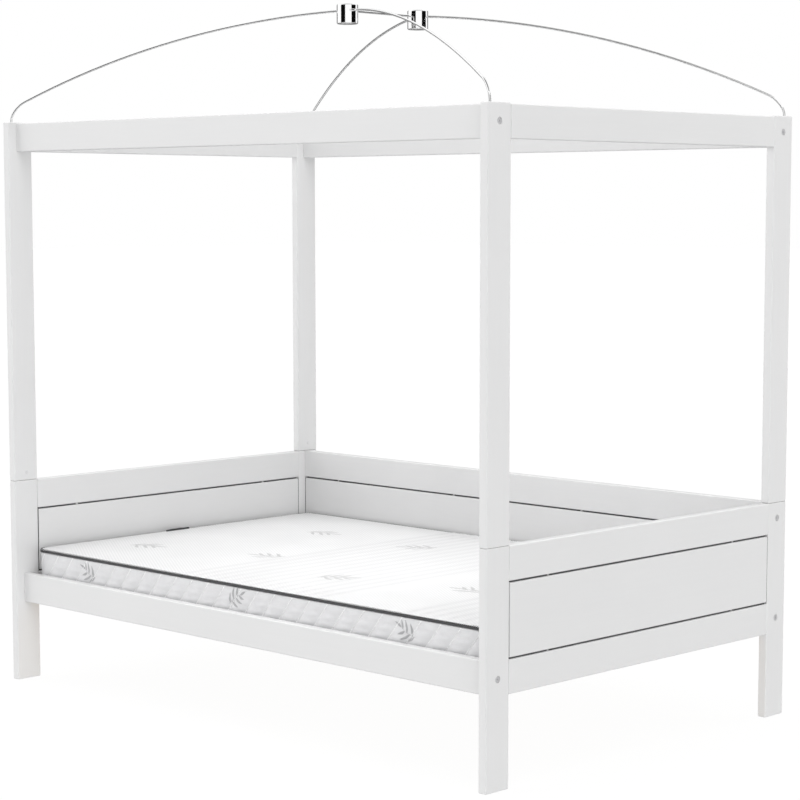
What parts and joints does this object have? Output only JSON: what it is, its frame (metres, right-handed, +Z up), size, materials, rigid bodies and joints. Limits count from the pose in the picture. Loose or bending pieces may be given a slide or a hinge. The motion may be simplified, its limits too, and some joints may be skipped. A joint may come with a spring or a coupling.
{
  "type": "canopy bed",
  "caption": "White panelled bed frame with tall corner posts, a frame of rails at their tops, thin steel rods that meet in chrome hubs above it, a slatted base and a mattress.",
  "frame": {"origin": "on the floor under the middle of the bed", "axes": "+X along the bed towards its right end, +Y from the open long side towards the panelled long side, +Z up"},
  "size_m": [2.07, 1.32, 2.115],
  "materials": {
    "white_paint": "satin",
    "pine": "matte",
    "beech": "matte",
    "zinc": "satin",
    "chrome": "polished",
    "cover_fabric": "matte",
    "piping_fabric": "matte",
    "foam": "matte",
    "webbing": "matte"
  },
  "bodies": {
    "frame": {"back_bottom_rail": "white_paint", "back_cap_rail": "white_paint", "back_ledger": "pine", "back_panel": "white_paint", "back_top_rail": "white_paint", "barrel_nuts": "zinc", "cam_bolts": "zinc", "cam_locks": "zinc", "frame_dowels": "beech", "front_bottom_rail": "white_paint", "front_ledger": "pine", "front_top_rail": "white_paint", "groove_dowels": "white_paint", "ledger_screws": "zinc", "left_bottom_rail": "white_paint", "left_cap_rail": "white_paint", "left_panel": "white_paint", "left_top_rail": "white_paint", "leg_back_left": "white_paint", "leg_back_right": "white_paint", "leg_front_left": "white_paint", "leg_front_right": "white_paint", "post_back_left": "white_paint", "post_back_right": "white_paint", "post_dowels": "beech", "post_front_left": "white_paint", "post_front_right": "white_paint", "rail_bolts": "zinc", "right_bottom_rail": "white_paint", "right_cap_rail": "white_paint", "right_panel": "white_paint", "right_top_rail": "white_paint", "slat_01": "pine", "slat_02": "pine", "slat_03": "pine", "slat_04": "pine", "slat_05": "pine", "slat_06": "pine", "slat_07": "pine", "slat_08": "pine", "slat_09": "pine", "slat_10": "pine", "slat_11": "pine", "slat_12": "pine", "slat_13": "pine", "slat_screws": "zinc", "slat_straps": "webbing"},
    "mattress": {"mattress_cover": "cover_fabric", "mattress_core": "foam", "mattress_top_piping": "piping_fabric", "mattress_bottom_piping": "piping_fabric"},
    "canopy": {"rod_back_left": "chrome", "rod_back_right": "chrome", "rod_front_left": "chrome", "rod_front_right": "chrome", "ridge_rod": "chrome", "hub_front": "chrome", "hub_back": "chrome", "hub_grub_screws": "zinc"}
  },
  "joints": [
    {"name": "mattress_lift", "type": "slide", "parent": "frame", "child": "mattress", "axis": [0, 0, 1], "range_m": [0, 0.36]},
    {"name": "canopy_lift", "type": "slide", "parent": "frame", "child": "canopy", "axis": [0, 0, 1], "range_m": [0, 0.06]}
  ]
}
